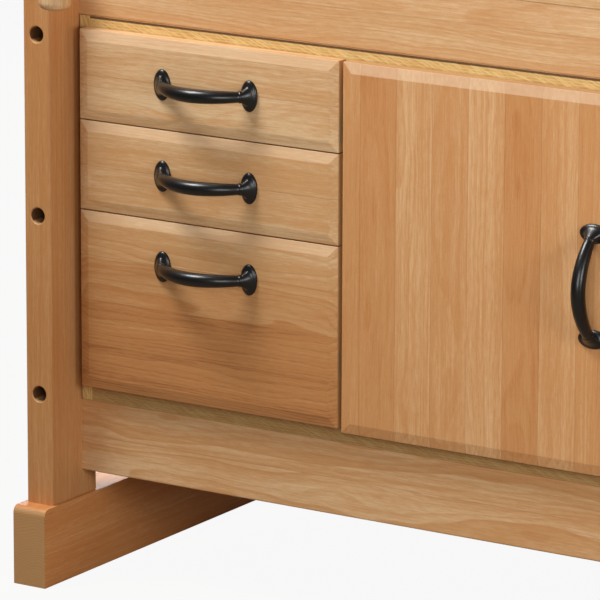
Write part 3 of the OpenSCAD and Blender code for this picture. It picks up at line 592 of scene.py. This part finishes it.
def skin(name, shapes, finish, body):
    """A piece from closed shapes; each is a list of rings with the same number of points."""
    bm = bmesh.new()
    for rings in shapes:
        rows = [[bm.verts.new(TO_METRES @ Vector(p)) for p in ring] for ring in rings]
        count = len(rows[0])
        for near, far in zip(rows, rows[1:]):
            for k in range(count):
                bm.faces.new((near[k], near[(k + 1) % count], far[(k + 1) % count], far[k]))
        bm.faces.new(rows[0][::-1])
        bm.faces.new(rows[-1])
    bmesh.ops.recalc_face_normals(bm, faces=bm.faces)
    mesh = bpy.data.meshes.new(name)
    bm.to_mesh(mesh)
    bm.free()
    mesh.shade_smooth()
    mesh.set_sharp_from_angle(angle=SHARP_ANGLE)
    mesh.materials.append(finish)
    piece = bpy.data.objects.new(name, mesh)
    bpy.context.scene.collection.objects.link(piece)
    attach(piece, body)
    return piece


print("edges sharper than", round(math.degrees(SHARP_ANGLE)), "degrees stay sharp")


# %% Turned shapes, and where they go
def angles(points):
    return [2 * math.pi * k / points for k in range(points)]


def turned(profile, points=48):
    """Rings of a shape turned round the Y axis, from pairs of a radius and a place along Y."""
    return [[(radius * math.sin(a), y, radius * math.cos(a)) for a in angles(points)] for radius, y in profile]


def moved(shape, matrix):
    return [[matrix @ Vector(p) for p in ring] for ring in shape]


def at(x, y, z):
    return Matrix.Translation((x, y, z))


def turn(degrees, axis):
    return Matrix.Rotation(math.radians(degrees), 4, axis)


def box_mm(name):
    """The lowest and the highest corner of a node, in millimetres."""
    return [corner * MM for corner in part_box(name)]


print("a turned ring has", len(turned(((1, 0),))[0]), "points")

# %% [markdown]
# ## Pulls
# Each pull is one casting: a bowed bar that is thickest in the middle, and an oval plate at each
# end, domed and drawn up to a neck with a small bead where the bar begins. Two pieces stuck
# together would show a seam, so it is one skin of rings, from the foot of one plate along the bar
# to the foot of the other, and a subdivision surface rounds it.

# %% The rings of a pull
PULL_HALF, PULL_OUT = 62.5, 46.0
PLATE_HALF_L, PLATE_HALF_W, PLATE_T = 19.5, 11.75, 5.5
BAR_MIDDLE_R, BAR_NECK_R, BAR_SHARE = 8.75, 5.75, 0.86
BOW = PULL_OUT - BAR_MIDDLE_R - PLATE_T
PULL_POINTS = 28
# Share of the half length, and half sizes across and deep, from the plate to the bead and the bar
NECK_STEPS = ((0.945, 9.0, 6.4), (0.92, 7.6, 6.2), (0.905, 7.7, 6.8), (0.895, 7.8, 7.0), (0.885, 7.5, 6.8),
              (0.877, 6.9, 6.4))
# Share of the plate's outline and height above the front, from the foot up to the neck
PLATE_STEPS = ((0.97, 0.0), (1.0, 0.4), (1.0, 1.6), (0.97, 2.7), (0.88, 3.9), (0.74, 4.9), (0.62, 5.5))


def plate(side):
    return [[(side * (PULL_HALF - PLATE_HALF_W * share * math.cos(a)), -height, PLATE_HALF_L * share * math.sin(a))
             for a in angles(PULL_POINTS)] for share, height in PLATE_STEPS]


def ring(share, wide, deep):
    """A ring square to the bow at a share of the half length, with half sizes across and along Z."""
    x, y = PULL_HALF * share, -PLATE_T - BOW * (1 - share * share)
    slope = math.atan2(2 * BOW * share, PULL_HALF)
    return [(x - math.sin(slope) * deep * math.cos(a), y + math.cos(slope) * deep * math.cos(a), wide * math.sin(a))
            for a in angles(PULL_POINTS)]


def bar(steps=30):
    """Rings along the bow, a parabola: flared out of the plate, a bead, then a bar thickest in the middle."""
    middle = []
    for i in range(steps + 1):
        share = BAR_SHARE * (2 * i / steps - 1)
        radius = BAR_NECK_R + (BAR_MIDDLE_R - BAR_NECK_R) * (1 - share * share) ** 0.75
        middle.append(ring(share, radius, radius))
    return ([ring(-share, *sizes) for share, *sizes in NECK_STEPS] + middle
            + [ring(share, *sizes) for share, *sizes in NECK_STEPS[::-1]])


print("the bar is", 2 * BAR_MIDDLE_R, "mm thick in the middle and", 2 * BAR_NECK_R, "mm where it thins out")


# %% Cast the five pulls
PULL = plate(-1) + bar() + plate(1)[::-1]
for front, body in (("upper_drawer", "upper_drawer"), ("middle_drawer", "middle_drawer"),
                    ("lower_drawer", "lower_drawer"), ("left_door", "left_door_leaf"),
                    ("right_door", "right_door_leaf")):
    lo, hi = box_mm(front + "_pull")
    stand = at((lo.x + hi.x) / 2, hi.y, (lo.z + hi.z) / 2)
    if "door" in front:
        stand = stand @ turn(90, "Y")
    piece = skin(front + "_cast_pull", [moved(PULL, stand)], IRON, body)
    rounding = piece.modifiers.new("rounding", "SUBSURF")
    rounding.levels = rounding.render_levels = 1
    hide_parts(front + "_pull")
print("pulls stand out", PULL_OUT, "mm, on plates", 2 * PULL_HALF, "mm apart")

# %% [markdown]
# ## Vise screws
# A bench screw has a coarse square-shouldered thread, so that a turn moves the jaw by 8 mm. The
# thread is drawn as a ridge that winds round a core: four points, the foot and the top of its two
# flanks, are carried round the helix, and the ridge fades out over its first and last turn. Cutting
# it with a Boolean would be slow and leave long thin triangles. The hub does use one Boolean, for
# the round eye that the handle slides through.

# %% A thread
THREAD_LEAD, CORE_R, CREST_R = 8.0, 9.4, 12.0
THREAD_STEPS = 28
SUNK, FOOT_HALF, CREST_HALF = 0.4, 2.6, 1.5


def thread(start, end):
    """A right-handed ridge round the Y axis between two places."""
    total = int((end - start) / THREAD_LEAD * THREAD_STEPS)
    rings = []
    for i in range(total + 1):
        a = 2 * math.pi * i / THREAD_STEPS
        y = start + THREAD_LEAD * i / THREAD_STEPS
        fade = min(1.0, i / THREAD_STEPS, (total - i) / THREAD_STEPS)
        top = CORE_R - 0.2 + (CREST_R - CORE_R + 0.2) * fade
        rings.append([(r * math.sin(a), y + off, r * math.cos(a)) for r, off in
                      ((CORE_R - SUNK, -FOOT_HALF), (top, -CREST_HALF), (top, CREST_HALF), (CORE_R - SUNK, FOOT_HALF))])
    return rings


print("the thread stands", round(CREST_R - CORE_R, 1), "mm high and leads", THREAD_LEAD, "mm a turn")

# %% The parts along a vise's axis, from the bench's face at 0
HUB_Y, HUB_END, EYE_Y = -66.5, -116.5, -91.5
HANDLE_R, RUN_GAP, EYE_CUT = 11.0, 0.08, 30.0
HUB = turned(((20.8, HUB_Y), (22, HUB_Y - 1.2), (22, HUB_Y - 6), (20.6, HUB_Y - 7.5), (20.6, HUB_Y - 9),
              (22, HUB_Y - 10.5), (22, HUB_END + 6), (21.5, HUB_END + 3.4), (20.2, HUB_END + 1.4),
              (18, HUB_END + 0.2), (16.5, HUB_END), (13, HUB_END), (12, HUB_END + 0.8)), 64)
COLLAR = turned(((12, -6.5), (18, -6.5), (19, -5.6), (19, -1.4), (18, -0.5), (12, -0.5)))


def bored(piece, cutter_rings):
    """Cuts a shape out of a piece."""
    cutter = skin("cutter", [cutter_rings], IRON, "bench")
    cut = piece.modifiers.new("bore", "BOOLEAN")
    cut.operation, cut.solver, cut.object = "DIFFERENCE", "EXACT", cutter
    shape = bpy.data.meshes.new_from_object(piece.evaluated_get(bpy.context.evaluated_depsgraph_get()))
    piece.modifiers.clear()
    piece.data = shape
    shape.set_sharp_from_angle(angle=SHARP_ANGLE)
    bpy.data.objects.remove(cutter)


print("the hub is", HUB_Y - HUB_END, "mm long, its eye", 2 * (HANDLE_R + RUN_GAP), "mm wide")

# %% [markdown]
# ## Small screws
# A slotted screw's head is two half domes with the slot between them, so it needs no cutting. The
# flanges have four each, and the hinge arms two.

# %% A slotted head
HEAD_STEPS = 14
HEAD_ARC = [math.pi * (k / HEAD_STEPS - 0.5) for k in range(HEAD_STEPS + 1)]
SLOT_TURN = 2.1  # radians from one head's slot to the next one's


def slotted(radius, rise, slot):
    """The two halves of a head that stands on y = 0, towards -Y."""
    return [[[(side * max(radius * share * math.cos(a), slot / 2), -height, radius * share * math.sin(a))
              for a in HEAD_ARC]
             for share, height in ((1.0, -0.2), (1.0, 0.3 * rise), (0.84, 0.8 * rise), (0.5, rise))]
            for side in (-1, 1)]


def heads(stands, radius, rise, slot):
    """Slotted heads at several places, each with its slot turned another way."""
    return [moved(half, stand @ Matrix.Rotation(SLOT_TURN * i, 4, "Y")) for i, stand in enumerate(stands)
            for half in slotted(radius, rise, slot)]


print("half a head has", len(HEAD_ARC), "points on each ring")


# %% Build both vises
SHANK_R, SHANK_END, CORE_FROM = 12.0, 52.0, 55.0
THREAD_FROM, THREAD_SPARE = 54.0, 8.0
FLANGE_SCREW_R = 29.5
FLANGE_HEAD = (4.5, 1.2, 1.1)  # radius, rise and slot


def vise(name, stand, reach, finish, jaw, screw):
    """A vise's screw, reach millimetres long behind the bench's face, its hub and its flange's screws."""
    core = turned(((SHANK_R, HUB_Y + 0.5), (SHANK_R, SHANK_END), (CORE_R, CORE_FROM), (CORE_R, reach - 3),
                   (CORE_R - 2, reach)))
    ridge = thread(THREAD_FROM, reach - THREAD_SPARE)
    shaft = skin(name + "_threaded_screw", [moved(s, stand) for s in (core, COLLAR, ridge)], finish, screw)
    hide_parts(name + "_screw")
    hub = skin(name + "_hub", [moved(HUB, stand)], finish, screw)
    eye = turned(((HANDLE_R + RUN_GAP, -EYE_CUT), (HANDLE_R + RUN_GAP, EYE_CUT)))
    bored(hub, moved(eye, stand @ at(0, EYE_Y, 0) @ turn(90, "X")))
    corners = [stand @ at(FLANGE_SCREW_R * math.cos(a), HUB_Y, FLANGE_SCREW_R * math.sin(a))
               for a in (math.radians(45 + 90 * k) for k in range(4))]
    skin(name + "_flange_screws", heads(corners, *FLANGE_HEAD), ZINC, jaw)
    print(name, "thread has", round((reach - THREAD_SPARE - THREAD_FROM) / THREAD_LEAD), "turns")


lo, hi = box_mm("front_vise_screw")
vise("front_vise", at((lo.x + hi.x) / 2, lo.y - HUB_END, (lo.z + hi.z) / 2), hi.y - lo.y + HUB_END,
     STEEL_Y, "front_jaw", "front_screw")
lo, hi = box_mm("end_vise_screw")
vise("end_vise", at(hi.x + HUB_END, (lo.y + hi.y) / 2, (lo.z + hi.z) / 2) @ turn(90, "Z"), hi.x - lo.x + HUB_END,
     STEEL_X, "end_jaw", "end_screw")

# %% [markdown]
# ## Rail bolts
# The leg frames are drawn against the rails by eight bolts. Their heads stand on the outer faces of
# the legs, with a hexagon socket, and each turns in a slotted barrel nut that shows on the rail's
# inner face. The socket is a ring of the same 24 points as the head's edge, pulled in to a hexagon.

# %% A bolt with its nut
HEAD_R, HEAD_T, SOCKET_ACROSS, SOCKET_DEEP, BOLT_R, BOLT_L = 8.0, 5.0, 6.0, 2.6, 4.0, 98.0
NUT_R, NUT_L, NUT_IN, NUT_SLOT, NUT_SLOT_W = 7.0, 20.0, 84.0, 1.2, 1.8
BOLT_POINTS = 24


def socket(y):
    """A hexagon at a place along Y, with as many points as the head."""
    hexagon = []
    for a in angles(BOLT_POINTS):
        radius = SOCKET_ACROSS / 2 / math.cos(a % (math.pi / 3) - math.pi / 6)
        hexagon.append((radius * math.sin(a), y, radius * math.cos(a)))
    return hexagon


HEAD_PROFILE = ((HEAD_R, 0), (HEAD_R, 1 - HEAD_T), (HEAD_R - 0.4, 0.3 - HEAD_T), (HEAD_R - 1.2, -HEAD_T))
BOLT_HEAD = turned(HEAD_PROFILE, BOLT_POINTS) + [socket(-HEAD_T), socket(SOCKET_DEEP - HEAD_T)]
BOLT = turned(((BOLT_R, BOLT_L), (BOLT_R, -0.5)), BOLT_POINTS)
BARREL = turned(((NUT_R, NUT_L), (NUT_R, NUT_SLOT - 0.2)), 32)
print("a bolt reaches", BOLT_L, "mm from the leg's face, its nut stands", NUT_IN, "mm in")

# %% Place the eight bolts
shapes = []
outer = {-1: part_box("front_left_leg")[0].x * MM, 1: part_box("front_right_leg")[1].x * MM}
for rail, nut_faces_back in (("front_top_rail", True), ("front_lower_rail", True), ("rear_top_rail", False),
                             ("rear_lower_rail", False)):
    lo, hi = box_mm(rail)
    for side, x in outer.items():
        y, z = (lo.y + hi.y) / 2, (lo.z + hi.z) / 2
        stand = at(x, y, z) @ turn(90 * side, "Z")
        inner = at(x - side * NUT_IN, hi.y if nut_faces_back else lo.y, z)
        nut = inner @ turn(180 if nut_faces_back else 0, "Z")
        shapes += [moved(BOLT_HEAD, stand), moved(BOLT, stand), moved(BARREL, nut)]
        shapes += [moved(half, nut @ at(0, NUT_SLOT, 0)) for half in slotted(NUT_R, NUT_SLOT, NUT_SLOT_W)]
bolts = skin("socket_bolts", shapes, ZINC, "bench")
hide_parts("rail_bolts")
print("bolts placed:", 4 * len(outer))

# %% The hinge screws
ARM_T, HINGE_IN, SCREW_BACKS = 2.5, 85, (10, 30)
HINGE_HEAD = (3.6, 1.2, 0.9)  # radius, rise and slot
arms_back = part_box("hinge_arms")[1].y * MM
door_lo, door_hi = box_mm("left_door")
stands = []
for x, side in ((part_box("cabinet_partition")[1].x * MM + ARM_T, 1),
                (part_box("cabinet_right_side")[0].x * MM - ARM_T, -1)):
    for z in (door_lo.z + HINGE_IN, door_hi.z - HINGE_IN):
        stands += [at(x, arms_back - back, z) @ turn(90 * side, "Z") for back in SCREW_BACKS]
skin("hinge_screws", heads(stands, *HINGE_HEAD), ZINC, "bench")
print("hinge screws placed:", len(stands))

# %% [markdown]
# ## Room, light and camera
# The bench stands on a plain pale floor. The photograph's main light comes from high up at the left
# front and draws the pulls' shadows. Three weaker ones fill in: one low in front, one at the right
# for the faces that look that way, and one behind for the back. Four softboxes of a real size give
# these directions with soft shadows, which an even light from everywhere couldn't.

# %% The floor
WHITE = (1.0, 1.0, 1.0)
FLOOR_HALF, FLOOR_SHOWN, FLOOR_GREY = 40.0, 0.07, srgb(146, 134, 118)


def pale_floor(name, shown, grey):
    """A floor that shows its light and shadow by the share shown, and is white for the rest."""
    finish = Finish(name, Roughness=0.9, Base_Color=grey)
    glow = finish.node("Emission", {}, {"Color": WHITE, "Strength": 1.0})
    both = finish.node("MixShader", {}, {0: finish.seen() * (1.0 - shown),
                                         1: Signal(finish, finish.shader.outputs[0]), 2: glow})
    finish.put(finish.output.inputs["Surface"], both)
    return finish.material


floor_mesh = bpy.data.meshes.new("floor")
floor_mesh.from_pydata([(x * FLOOR_HALF, y * FLOOR_HALF, 0) for x, y in ((-1, -1), (1, -1), (1, 1), (-1, 1))],
                       [], [(0, 1, 2, 3)])
floor_mesh.materials.append(pale_floor("pale floor", FLOOR_SHOWN, FLOOR_GREY))
floor = bpy.data.objects.new("floor", floor_mesh)
bpy.context.scene.collection.objects.link(floor)
print("the floor is", 2 * FLOOR_HALF, "m square")

# %% The world
ROOM_LIGHT = 0.13
world = bpy.data.worlds.new("studio")
bpy.context.scene.world = world
world.use_nodes = True
room = Nodes(world.node_tree)
light = room.node("Background", {}, {"Color": WHITE, "Strength": ROOM_LIGHT})
backdrop = room.node("Background", {}, {"Color": WHITE, "Strength": 1.0})
both = room.node("MixShader", {}, {0: room.seen(), 1: light, 2: backdrop})
room.node("OutputWorld", {}, {"Surface": both}, None)
print("the room gives", ROOM_LIGHT, "of the white that the camera sees behind the bench")


# %% The lamps
def softbox(name, place, aim, size, watts):
    """A rectangular lamp at a place, turned to what it is aimed at, in metres."""
    lamp = bpy.data.lights.new(name, "AREA")
    lamp.shape, lamp.size, lamp.size_y, lamp.energy = "RECTANGLE", *size, watts
    stand = bpy.data.objects.new(name, lamp)
    look = (Vector(aim) - Vector(place)).to_track_quat("-Z", "Y")
    stand.matrix_world = Matrix.Translation(place) @ look.to_matrix().to_4x4()
    bpy.context.scene.collection.objects.link(stand)
    return stand


high = softbox("high softbox", place=(-1.222, -0.905, 2.442), aim=(0.0, -0.2, 0.5), size=(0.8, 0.8), watts=54)
softbox("low softbox", place=(0.4, -1.3, 0.75), aim=(0.1, -0.2, 0.55), size=(0.5, 0.5), watts=5)
softbox("right softbox", place=(2.2, -1.2, 1.0), aim=(-0.1, -0.2, 0.4), size=(0.8, 0.8), watts=19)
softbox("back softbox", place=(-2.2, 3.0, 1.5), aim=(0.0, 0.2, 0.5), size=(1.6, 1.4), watts=34)
print("lamps:", [lamp.name for lamp in bpy.data.lights])

# %% [markdown]
# The photograph shows no shadow of the bench's top on the rail below it. So what hangs out over the
# rail is left out of the high softbox's shadows, and still casts those of all the other light.

# %% The top casts no shadow of the high softbox
OVERHANG = ("top_slab", "front_apron", "left_end_cap", "front_vise", "slab_dog", "left_bearer")
clear = bpy.data.collections.new("clear of the high softbox")
for piece in bpy.context.scene.objects:
    if piece.name.startswith(OVERHANG):
        clear.objects.link(piece)
high.light_linking.blocker_collection = clear
for item in clear.collection_objects:
    item.light_linking.link_state = "EXCLUDE"

# %% [markdown]
# The camera was fitted to the straight edges in the photograph. It stands far off at the right front
# with a long lens, so that the bench's upright lines stay almost parallel.

# %% The camera
AZIMUTH, ELEVATION, ROLL = math.radians(32.484), math.radians(13.719), math.radians(0.208)
CAMERA_PLACE = (2.956, -5.3122, 1.8778)
LENS_MM, SENSOR_MM, FAR_END = 313.34, 36.0, 200.0
ahead = Vector((-math.sin(AZIMUTH) * math.cos(ELEVATION), math.cos(AZIMUTH) * math.cos(ELEVATION),
                -math.sin(ELEVATION)))
level = Vector((math.cos(AZIMUTH), math.sin(AZIMUTH), 0.0))
upward = level.cross(ahead)
right = level * math.cos(ROLL) + upward * math.sin(ROLL)
upward = upward * math.cos(ROLL) - level * math.sin(ROLL)
lens = bpy.data.cameras.new("camera")
lens.lens, lens.sensor_width, lens.clip_end = LENS_MM, SENSOR_MM, FAR_END
camera = bpy.data.objects.new("camera", lens)
camera.matrix_world = Matrix.Translation(CAMERA_PLACE) @ Matrix((right, upward, -ahead)).transposed().to_4x4()
bpy.context.scene.collection.objects.link(camera)
bpy.context.scene.camera = camera
bpy.context.scene.view_settings.view_transform = "Standard"
print("the camera is", round(Vector(CAMERA_PLACE).length, 2), "m from the bench's middle")
